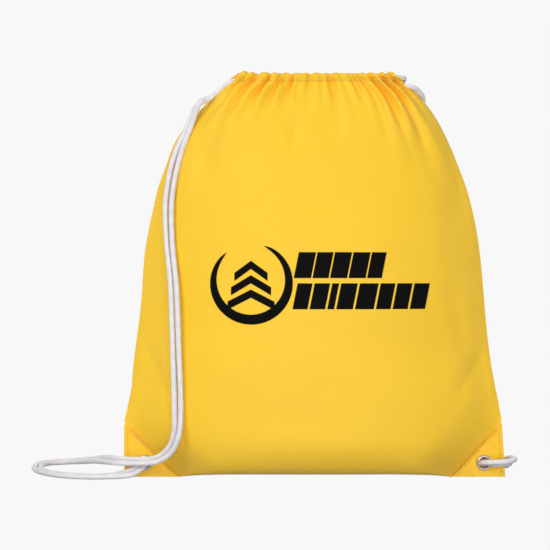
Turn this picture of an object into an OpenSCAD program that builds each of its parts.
// Drawstring backpack: a soft bag closed by two cords that run through a tunnel round its mouth.
// Each cord comes back to an eyelet in a bottom corner, so that its two strands make a shoulder strap.
// The bag stands on its base at z = 0, its front faces -Y, and +X is to the right. Millimetres.

/* [Bag] */
// Width across the bottom corners
bag_w = 342; // [300:1:420]
// Height of the panels, from the floor to the tunnels
panel_h = 353; // [290:1:430]
// Depth of the filled bag at its belly
bag_d = 102; // [80:1:124]
// Depth of the flat base that it stands on
base_d = 42; // [36:1:70]
// Height up to which the foot rounds out from the base
foot_h = 60; // [40:1:80]
// Thickness of the cloth
cloth_t = 1; // [0.8:0.1:1.4]
// Width of the flat side seam
seam_w = 2; // [1.5:0.5:4]

/* [Tunnels] */
// Length of each tunnel, which is the width of the gathered mouth
tunnel_len = 138; // [110:1:168]
// Height of a tunnel
tunnel_h = 10; // [9:0.5:14]
// Cloth at the front and back of a tunnel
tunnel_wall = 0.8; // [0.6:0.1:1.2]
// Gap between the two tunnels
mouth_gap = 5; // [5:0.5:16]
// Length by which the right cord's bend is tucked into the tunnels' left ends
bend_tuck = 6.5; // [5:0.5:9]

/* [Cords] */
// Diameter of a cord
cord_d = 5; // [4:0.5:6]
// Room round the cords inside a tunnel
cord_room = 0.5; // [0.3:0.1:1]
// Space between two cords that run side by side
cord_gap = 0.4; // [0.3:0.1:0.8]
// Diameter of the knot behind an eyelet
knot_d = 14; // [12:1:18]

/* [Corners] */
// Leg of the flat triangular corner
corner_leg = 48; // [40:1:56]
// Thickness of a corner patch
patch_t = 0.6; // [0.4:0.1:1]
// Margin between a patch and the edges of its corner
patch_margin = 1; // [0.5:0.5:2]
// Length of one stitch on a patch
stitch_len = 2.6; // [2:0.2:4]
// Distance from one stitch to the next
stitch_pitch = 3.6; // [3:0.2:5]
// Thickness of the sewing thread
thread_d = 0.5; // [0.3:0.1:0.7]

/* [Eyelets] */
// Diameter of the hole in an eyelet
eyelet_bore = 9; // [8:0.5:11]
// Wall of the eyelet's barrel
barrel_wall = 0.5; // [0.4:0.1:0.8]
// Width of the domed ring at the front
rim_w = 2.5; // [2:0.1:3]
// Width of the rolled end at the back
roll_w = 1.6; // [1.2:0.1:2]
// Thickness of the washer at the back
washer_t = 0.5; // [0.4:0.1:0.8]
// Cloth between the eyelet's rim and the slanted seam
seam_room = 4.67; // [3:0.01:6]
// Cloth between the eyelet's rim and the floor
floor_room = 6; // [4:0.5:9]
// Room round the two strands that fill the eyelet
stub_play = 0.3; // [0.2:0.05:0.6]

/* [Hidden] */
$fn = 48;
FIT = 0.05;
TUBE_SIDES = 10;
CLOTH = "gold";
PATCH = "orange";
CORD = "whitesmoke";
NICKEL = "silver";
THREAD = "goldenrod";

cord_r = cord_d / 2;
cord_shift = (cord_d + cord_gap) / 2;
channel_h = cord_d + 2 * cord_room;
channel_w = channel_h + 2 * cord_shift;
tunnel_d = channel_w + 2 * tunnel_wall;
tunnel_y = mouth_gap / 2 + tunnel_d / 2;
tunnel_z = panel_h + tunnel_h / 2;
inner_y = tunnel_y - cord_shift;
outer_y = tunnel_y + cord_shift;

// How far the strands stand out of an eyelet before they part, and how deep the knot beds in it
STUB_OUT = 0.55;
KNOT_SINK = 1.9;
// Half the distance between the two strands at an eyelet, and down the strap
END_SHIFT = 2.6;
STRAND_SHIFT = 2.8;
// A cord that starts steeper than this share of upright counts its sides from X instead of Z
STEEP = 0.7;

// Panel grid: shares of the height above the corners, and columns from side to side
LOW_ROWS = [3, 8, 16, 28];
HIGH_ROWS = [0.1, 0.2, 0.3, 0.4, 0.5, 0.6, 0.7, 0.78, 0.85, 0.91, 0.96, 1];
HALF_COLUMNS = 9;
BELLY_SHARE = 0.4;
BELLY_POWER = 2.2;
SIDE_POWER = 2.5;
MOUTH_POWER = 8;
BASE_RISE = 1.6;
SHOULDER = 5;

// Outline of the filled bag: share of the height, then share of the way from mouth to base width
OUTLINE = [
    [0, 1], [0.14, 0.98], [0.25, 0.915], [0.42, 0.86], [0.57, 0.79], [0.68, 0.72],
    [0.76, 0.635], [0.85, 0.48], [0.93, 0.325], [0.965, 0.22], [1, 0]
];

ROW_Z = concat([0, 0], LOW_ROWS, [corner_leg],
    [for (share = HIGH_ROWS) corner_leg + share * (panel_h - corner_leg)]);
COLUMN_S = [for (i = [-HALF_COLUMNS:HALF_COLUMNS]) sin(90 * i / HALF_COLUMNS)];

mouth_half = tunnel_len / 2 + SHOULDER;
belly_z = BELLY_SHARE * panel_h;
mouth_depth = tunnel_y - cloth_t / 2;
stack = cloth_t + patch_t;
rim_r = eyelet_bore / 2 + rim_w;
eyelet_z = rim_r + floor_room;
eyelet_x = bag_w / 2 - corner_leg + eyelet_z + (rim_r + seam_room) * sqrt(2);
barrel_r = eyelet_bore / 2 + barrel_wall;
stub_r = eyelet_bore / 2 - stub_play;
stub_y = stack + rim_w / 2 + STUB_OUT;
roll_y = stack + washer_t;
knot_y = roll_y + roll_w / 2 + knot_d / 2 - KNOT_SINK;

// Hinge line of the left strap. Its two strands start one behind the other, and end side by side.
// The right strap is the same strap turned half a turn about the upright axis, then moved in.
STRAP_TOP = [-104, -11, 334];
STRAP_FOOT = [-121, -34, 60];
RIGHT_SHIFT = [-8, 3, 0];
strap_dir = unit(STRAP_FOOT - STRAP_TOP);
top_side = [1, -STRAND_SHIFT, 0];
foot_side = unit(cross(strap_dir, [0, 1, 0])) * STRAND_SHIFT;

// Cord routes, from a tunnel's mouth to an eyelet. Inner strands lie nearer the middle of the bag.
LEFT_FRONT_LEAD = [
    [-72, -11.9, 356.6], [-77, -10.5, 353], [-83, -7, 349], [-90, -6, 343.4], [-97, -8.5, 337.8]
];
LEFT_REAR_LEAD = [
    [-72, 11.9, 356.6], [-77, 10.5, 353], [-83, 7.5, 349], [-90, 5, 344.8], [-96, 3.2, 341],
    [-101.8, -1, 338.2]
];
RIGHT_REAR_LEAD = [
    [70.5, 6.3, 357.3], [74, 6.8, 353.4], [81, 10, 350.8], [89, 13.5, 343.5]
];
RIGHT_FRONT_LEAD = [
    [70.5, -6.3, 357.3], [74, -7, 353.2], [81, -10, 351.2], [88, -9, 349.4], [94, -3, 345.8],
    [98, 4, 340.8]
];
INNER_STRAP = [
    [-109.5, -11.5, 317], [-120, -12, 288], [-127, -17, 250], [-126.5, -22, 212],
    [-122.5, -29, 174], [-120, -33, 120]
];
OUTER_STRAP = [
    [-113.8, -7.5, 315], [-126.2, -10, 286], [-133, -13, 248], [-132, -17.5, 214],
    [-128, -25, 176], [-125.6, -30, 120]
];
LEFT_FRONT_SLACK = [
    [-119.5, -36, 43], [-126, -31, 27], [-139, -26, 17.5], [-158, -22, 15.2], [-176, -14, 14.6],
    [-189, 6, 13], [-203, 35, 10], [-219, 66, 5.4], [-238, 82, 2.7], [-252, 72, 2.7],
    [-254, 46, 2.7], [-243, 16, 2.7], [-220, -6, 2.7], [-188, -14, 3], [-166, -13, 7],
    [-156.5, -9.5, 12]
];
LEFT_REAR_SLACK = [
    [-124.2, -31, 44.5], [-129.5, -25, 29.5], [-141, -19.5, 19.8], [-158, -15, 17.6],
    [-174.5, -7.5, 17.4], [-185.5, 10, 16.4], [-197.5, 38, 12.4], [-212.5, 70, 7],
    [-236, 88, 3], [-256, 77.5, 2.7], [-259.8, 46, 2.7], [-248.2, 13, 2.7],
    [-223, -11.2, 2.7], [-188, -19.6, 3], [-162, -18, 5], [-151.5, -10, 12]
];
RIGHT_REAR_SLACK = [
    [110.5, 40.5, 40], [109.5, 46, 20], [106, 55, 6], [95, 64, 2.7], [70, 66, 2.7], [44, 74, 2.7],
    [40, 96, 2.7], [64, 108, 2.7], [110, 102, 2.7], [150, 82, 2.7], [170, 52, 3], [177, 24, 7.5],
    [174.5, 4, 12], [175, -4, 12.6], [168, -9, 12.8], [158.5, -9.5, 12.8]
];
RIGHT_FRONT_SLACK = [
    [116, 41.5, 40], [115.5, 48, 21], [111.5, 59, 7], [97, 71, 2.7], [71, 72, 2.7], [50.5, 78, 2.7],
    [46.5, 93, 2.7], [65, 102, 2.7], [108.5, 96.4, 2.7], [146.5, 77.5, 2.7], [165.5, 48.3, 6],
    [174.5, 22, 13], [178.3, 4, 16.6], [179, -6, 16.5], [171.5, -14, 15.8], [160, -15, 15.2],
    [152.5, -10.5, 14.4]
];

function unit(v) = v / norm(v);
function half_turn(points) = [for (p = points) [-p.x, -p.y, p.z]];
function to_right(points) = [for (p = half_turn(points)) p + RIGHT_SHIFT];

// Half width of the filled bag at a height
function half_width(z) =
    mouth_half + (bag_w / 2 - mouth_half) * lookup(z / panel_h, OUTLINE);

// Half width without the flat triangle of a corner
function seamed_width(z) = half_width(z) - max(0, corner_leg - z);

// Half depth of the filled bag at a height: rounded foot, full belly, then in towards the mouth
function half_depth(z) =
    z < foot_h ? (base_d + (bag_d - base_d) * sqrt(1 - pow(1 - z / foot_h, 2))) / 2 - cloth_t
    : z < belly_z ? bag_d / 2 - cloth_t
    : mouth_depth + (bag_d / 2 - cloth_t - mouth_depth) * (1 - pow(rise(z), BELLY_POWER));
function rise(z) = max(0, (z - belly_z) / (panel_h - belly_z));
function fullness(s, z) =
    1 - pow(abs(s), SIDE_POWER + (MOUTH_POWER - SIDE_POWER) * pow(rise(z), 4));

// One point of the front panel: row from the middle of the base up, column from left to right
function panel_point(row, column, layer) =
    let (z = ROW_Z[row])
    let (flat = column == 0 || column == len(COLUMN_S) + 1)
    let (s = flat ? sign(column - 1) : COLUMN_S[column - 1])
    let (x = s * (seamed_width(z) - (flat ? 0 : seam_w)))
    let (y = row == 0 || abs(s) == 1 ? 0 : half_depth(z) * fullness(s, z))
    layer == 0
        ? [x, row == 0 ? 0 : -y - cloth_t, z]
        : [x, -y, z + (row == 0 ? cloth_t : row == 1 ? BASE_RISE * cloth_t : 0)];

function quad(a, b, c, d) = [[a, b, c], [a, c, d]];
function flatten(lists) = [for (list = lists) for (item = list) item];

// The cloth of one side of the bag, as a closed sheet
module panel_cloth() {
    rows = len(ROW_Z);
    columns = len(COLUMN_S) + 2;
    sheet = rows * columns;
    points = [
        for (layer = [0, 1]) for (row = [0:rows - 1]) for (column = [0:columns - 1])
            panel_point(row, column, layer)
    ];
    faces = flatten([
        for (r = [0:rows - 2]) for (c = [0:columns - 2])
            let (a = r * columns + c, b = a + columns)
            concat(quad(a, b, b + 1, a + 1), quad(sheet + a, sheet + a + 1, sheet + b + 1, sheet + b))
    ]);
    bottom = flatten([for (c = [0:columns - 2]) quad(c, c + 1, sheet + c + 1, sheet + c)]);
    last = (rows - 1) * columns;
    top = flatten([
        for (c = [0:columns - 2])
            quad(last + c, sheet + last + c, sheet + last + c + 1, last + c + 1)
    ]);
    sides = flatten([
        for (r = [0:rows - 2])
            let (a = r * columns, b = a + columns - 1)
            concat(quad(sheet + a, sheet + a + columns, a + columns, a),
                quad(b + columns, sheet + b + columns, sheet + b, b))
    ]);
    polyhedron(points, concat(faces, bottom, top, sides));
}

// Flat triangle of cloth at a bottom corner, with a hole for the eyelet's barrel
module corner_cloth() {
    lap = seam_w / 2;
    rotate([90, 0, 0])
        linear_extrude(cloth_t)
            difference() {
                polygon([
                    [seamed_width(0) - lap, 0], [half_width(0), 0],
                    [half_width(corner_leg), corner_leg], [half_width(corner_leg) - lap, corner_leg]
                ]);
                translate([eyelet_x, eyelet_z])
                    circle(r = barrel_r + FIT);
            }
}

module front_panel() {
    color(CLOTH)
        union() {
            panel_cloth();
            corner_cloth();
            mirror([1, 0, 0])
                corner_cloth();
        }
}

module back_panel() {
    color(CLOTH)
        mirror([0, 1, 0])
            union() {
                panel_cloth();
                corner_cloth();
                mirror([1, 0, 0])
                    corner_cloth();
            }
}

module stadium(width, height) {
    square([width - height, height], center = true);
    for (side = [-1, 1])
        translate([side * (width - height) / 2, 0])
            circle(d = height);
}

// Sewn tunnel that both cords run through, open at both ends; its inner side stops short at the
// left, where the right cord bends round from one tunnel to the other
module tunnel(side) {
    color(CLOTH)
        difference() {
            translate([-tunnel_len / 2, side * tunnel_y, tunnel_z])
                rotate([90, 0, 90])
                    linear_extrude(tunnel_len)
                        difference() {
                            stadium(tunnel_d, tunnel_h);
                            stadium(channel_w, channel_h);
                        }
            translate([-tunnel_len / 2, 0, tunnel_z])
                cube([2 * (bend_tuck + cord_room), 2 * inner_y, 2 * tunnel_h], center = true);
        }
}

module front_tunnel() {
    tunnel(-1);
}

module back_tunnel() {
    tunnel(1);
}

// Triangle of a second cloth layer over a flat corner, for x and y sides of -1 or 1
module patch(side_x, side_y) {
    low = patch_margin;
    edge = half_width(corner_leg) - patch_margin;
    inner = bag_w / 2 - corner_leg + 2 * patch_margin;
    color(PATCH)
        translate([0, side_y * cloth_t, 0])
            rotate([90, 0, 0])
                difference() {
                    mirror([0, 0, side_y > 0 ? 1 : 0])
                        linear_extrude(patch_t)
                            mirror([side_x < 0 ? 1 : 0, 0])
                                polygon([[inner, low], [edge, low], [edge, corner_leg - 2 * low]]);
                    translate([side_x * eyelet_x, eyelet_z, 0])
                        cylinder(r = barrel_r + FIT, h = 4 * stack, center = true);
                }
}

module left_front_patch() {
    patch(-1, -1);
}

module left_back_patch() {
    patch(-1, 1);
}

module right_front_patch() {
    patch(1, -1);
}

module right_back_patch() {
    patch(1, 1);
}

// Row of stitches along the slanted edge of each patch
module patch_stitching() {
    seam_in = 3 * patch_margin;
    start = [bag_w / 2 - corner_leg + 2 * seam_in, seam_in];
    count = floor((corner_leg - 4 * seam_in) * sqrt(2) / stitch_pitch);
    color(THREAD)
        for (side_x = [-1, 1], side_y = [-1, 1], i = [0:count - 1])
            translate([side_x * (start.x + i * stitch_pitch / sqrt(2)),
                    side_y * (stack + thread_d / 2), start.y + i * stitch_pitch / sqrt(2)])
                rotate([0, -side_x * 45, 0])
                    cube([stitch_len, thread_d, thread_d], center = true);
}

// Eyelet: domed rim in front, barrel through the cloth, rolled end behind the washer
module eyelet(side) {
    bore_r = eyelet_bore / 2;
    color(NICKEL)
        translate([side * eyelet_x, 0, eyelet_z])
            rotate([90, 0, 0])
                rotate_extrude() {
                    translate([bore_r, -roll_y])
                        square([barrel_wall, roll_y + stack]);
                    translate([bore_r + rim_w / 2, stack])
                        intersection() {
                            circle(d = rim_w);
                            translate([-rim_w, 0])
                                square([2 * rim_w, rim_w]);
                        }
                    translate([bore_r + roll_w / 2, -roll_y])
                        intersection() {
                            circle(d = roll_w);
                            translate([-roll_w, -roll_w])
                                square([2 * roll_w, roll_w]);
                        }
                }
}

module left_eyelet() {
    eyelet(-1);
}

module right_eyelet() {
    eyelet(1);
}

module washer(side) {
    color(NICKEL)
        translate([side * eyelet_x, stack + washer_t, eyelet_z])
            rotate([90, 0, 0])
                linear_extrude(washer_t)
                    difference() {
                        circle(r = eyelet_bore / 2 + rim_w);
                        circle(r = barrel_r + FIT);
                    }
}

module left_eyelet_washer() {
    washer(-1);
}

module right_eyelet_washer() {
    washer(1);
}

// Both ends of a cord, pressed together through the eyelet and knotted behind it
module knot(side) {
    color(CORD)
        translate([side * eyelet_x, 0, eyelet_z]) {
            translate([0, knot_y, 0])
                rotate([90, 0, 0])
                    cylinder(r = stub_r, h = knot_y + stub_y);
            translate([0, knot_y, 0])
                sphere(d = knot_d);
        }
}

module left_knot() {
    knot(-1);
}

module right_knot() {
    knot(1);
}

// Part of a cord inside both tunnels: two straight runs joined by a bend at one end, which may be
// tucked in by part of its length
module drawcord(run_y, tuck) {
    color(CORD)
        translate([0, 0, tunnel_z]) {
            for (side = [-1, 1])
                translate([-tunnel_len / 2, side * run_y, 0])
                    rotate([0, 90, 0])
                        cylinder(r = cord_r, h = tunnel_len - tuck);
            translate([tunnel_len / 2 - tuck, 0, 0])
                rotate([0, 0, -90])
                    rotate_extrude(angle = 180)
                        translate([run_y, 0])
                            circle(r = cord_r);
        }
}

module left_drawcord() {
    drawcord(outer_y, 0);
}

module right_drawcord() {
    mirror([1, 0, 0])
        drawcord(inner_y, bend_tuck);
}

// Directions of a tube's rings, and a side vector carried from ring to ring without a twist
function tangents(p, first, last) = [
    for (i = [0:len(p) - 1])
        i == 0 ? first : i == len(p) - 1 ? last : unit(p[i + 1] - p[i - 1])
];
function carried(t, side, i = 0) =
    i >= len(t) ? [] :
    let (m = unit(side - (side * t[i]) * t[i]))
    concat([m], carried(t, m, i + 1));

// Tube of a cord along its route; first and last are the directions in which it starts and ends
module tube(route, first, last) {
    t = tangents(route, first, last);
    sides = carried(t, abs(first.z) > STEEP ? [1, 0, 0] : [0, 0, 1]);
    n = TUBE_SIDES;
    points = [
        for (i = [0:len(route) - 1]) for (k = [0:n - 1])
            let (angle = 360 * k / n)
            route[i] + cord_r * (cos(angle) * sides[i] + sin(angle) * cross(t[i], sides[i]))
    ];
    walls = flatten([
        for (i = [0:len(route) - 2]) for (k = [0:n - 1])
            let (a = i * n + k, b = i * n + (k + 1) % n)
            quad(a, a + n, b + n, b)
    ]);
    caps = [[for (k = [0:n - 1]) k], [for (k = [n - 1:-1:0]) (len(route) - 1) * n + k]];
    color(CORD)
        polyhedron(points, concat(walls, caps));
}

inner_top = STRAP_TOP + top_side;
outer_top = STRAP_TOP - top_side;
inner_foot = STRAP_FOOT + foot_side;
outer_foot = STRAP_FOOT - foot_side;
right_dir = half_turn([strap_dir])[0];

// A lead starts on the drawcord's run at a tunnel's left or right end, and stops at its strap
module lead(side, run_y, middle, strap_end, direction) {
    tube(concat([[side * tunnel_len / 2, run_y, tunnel_z]], middle, [strap_end]), [side, 0, 0],
        direction);
}

module left_lead_front() {
    lead(-1, -outer_y, LEFT_FRONT_LEAD, inner_top, strap_dir);
}

module left_lead_rear() {
    lead(-1, outer_y, LEFT_REAR_LEAD, outer_top, strap_dir);
}

module right_lead_front() {
    lead(1, -inner_y, RIGHT_FRONT_LEAD, to_right([outer_top])[0], right_dir);
}

module right_lead_rear() {
    lead(1, inner_y, RIGHT_REAR_LEAD, to_right([inner_top])[0], right_dir);
}

module left_strap_front() {
    tube(concat([inner_top], INNER_STRAP, [inner_foot]), strap_dir, strap_dir);
}

module left_strap_rear() {
    tube(concat([outer_top], OUTER_STRAP, [outer_foot]), strap_dir, strap_dir);
}

module right_strap_front() {
    tube(to_right(concat([outer_top], OUTER_STRAP, [outer_foot])), right_dir, right_dir);
}

module right_strap_rear() {
    tube(to_right(concat([inner_top], INNER_STRAP, [inner_foot])), right_dir, right_dir);
}

// The slack of a strap lies on the floor and comes back to its eyelet from the front
module slack(start, middle, end_x, direction) {
    tube(concat([start], middle, [[end_x, -stub_y, eyelet_z]]), direction, [0, 1, 0]);
}

module left_slack_front() {
    slack(inner_foot, LEFT_FRONT_SLACK, -eyelet_x - END_SHIFT, strap_dir);
}

module left_slack_rear() {
    slack(outer_foot, LEFT_REAR_SLACK, -eyelet_x + END_SHIFT, strap_dir);
}

module right_slack_front() {
    slack(to_right([outer_foot])[0], RIGHT_FRONT_SLACK, eyelet_x - END_SHIFT, right_dir);
}

module right_slack_rear() {
    slack(to_right([inner_foot])[0], RIGHT_REAR_SLACK, eyelet_x + END_SHIFT, right_dir);
}

front_panel();
back_panel();
front_tunnel();
back_tunnel();
left_front_patch();
left_back_patch();
right_front_patch();
right_back_patch();
patch_stitching();
left_eyelet();
right_eyelet();
left_eyelet_washer();
right_eyelet_washer();
left_knot();
right_knot();
left_drawcord();
right_drawcord();
left_lead_front();
left_lead_rear();
right_lead_front();
right_lead_rear();
left_strap_front();
left_strap_rear();
right_strap_front();
right_strap_rear();
left_slack_front();
left_slack_rear();
right_slack_front();
right_slack_rear();
